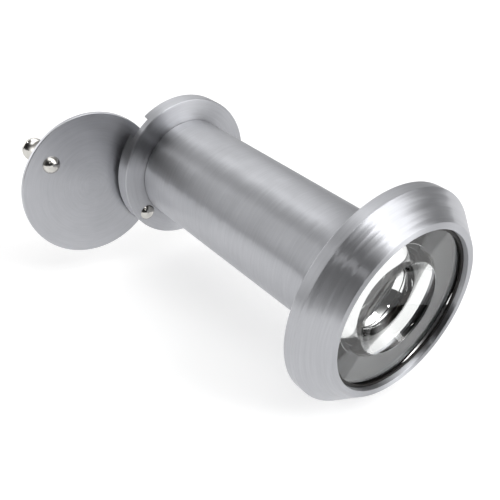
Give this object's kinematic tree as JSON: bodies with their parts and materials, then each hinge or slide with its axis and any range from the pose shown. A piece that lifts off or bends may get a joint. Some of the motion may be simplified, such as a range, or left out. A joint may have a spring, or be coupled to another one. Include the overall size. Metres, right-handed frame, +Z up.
{
  "type": "door viewer",
  "caption": "Wide-angle door viewer: bevelled exterior bezel with a large hollow lens, smooth barrel and a room-side flange with a swing cover and pull knob.",
  "frame": {"origin": "on the optical axis, in the bezel's back face, which rests on the outside of the door", "axes": "+Y along the barrel from the exterior bezel to the room side, +Z up, +X to the right seen from outside the door"},
  "size_m": [0.0668, 0.0942, 0.0484],
  "materials": {
    "satin_nickel": "satin nickel plate over brass, brushed round the axis",
    "bright_nickel": "bright nickel plate",
    "turned_brass": "as turned",
    "blackened_brass": "matt black oxide",
    "spring_steel": "plain rolled",
    "grey_rubber": "matt moulded",
    "optical_glass": "polished"
  },
  "bodies": {
    "exterior_unit": {"bezel": "satin_nickel", "outer_barrel": "satin_nickel", "objective_lens": "optical_glass", "lens_gasket": "grey_rubber", "objective_lock_ring": "blackened_brass", "front_spacer": "blackened_brass", "second_lens": "optical_glass", "middle_spacer": "blackened_brass", "third_lens": "optical_glass", "stack_baffle": "blackened_brass", "lens_stack_ring": "blackened_brass"},
    "interior_unit": {"interior_flange": "satin_nickel", "inner_tube": "turned_brass", "tube_baffle": "blackened_brass", "eyepiece_lens": "optical_glass", "eyepiece_ring": "blackened_brass", "pivot_rivet": "bright_nickel", "pivot_spacer": "turned_brass"},
    "pivot_washers": {"cone_spring_washer": "spring_steel", "outer_washer": "spring_steel"},
    "cover": {"cover_disc": "satin_nickel", "cover_knob": "bright_nickel", "knob_rivet": "bright_nickel"}
  },
  "joints": [
    {"name": "interior_unit_withdraw", "type": "slide", "parent": "exterior_unit", "child": "interior_unit", "axis": [0, 1, 0], "range_m": [0, 0.075]},
    {"name": "cover_swing", "type": "hinge", "parent": "interior_unit", "child": "pivot_washers", "pos_m": [-0.01246, 0.071, -0.00905], "axis": [0, -1, 0], "range_deg": [-105, 75]},
    {"name": "cover_rock", "type": "hinge", "parent": "pivot_washers", "child": "cover", "pos_m": [-0.01246, 0.071, -0.00905], "axis": [-0.6293, 0, -0.7771], "range_deg": [-3.9, 1.5]}
  ]
}
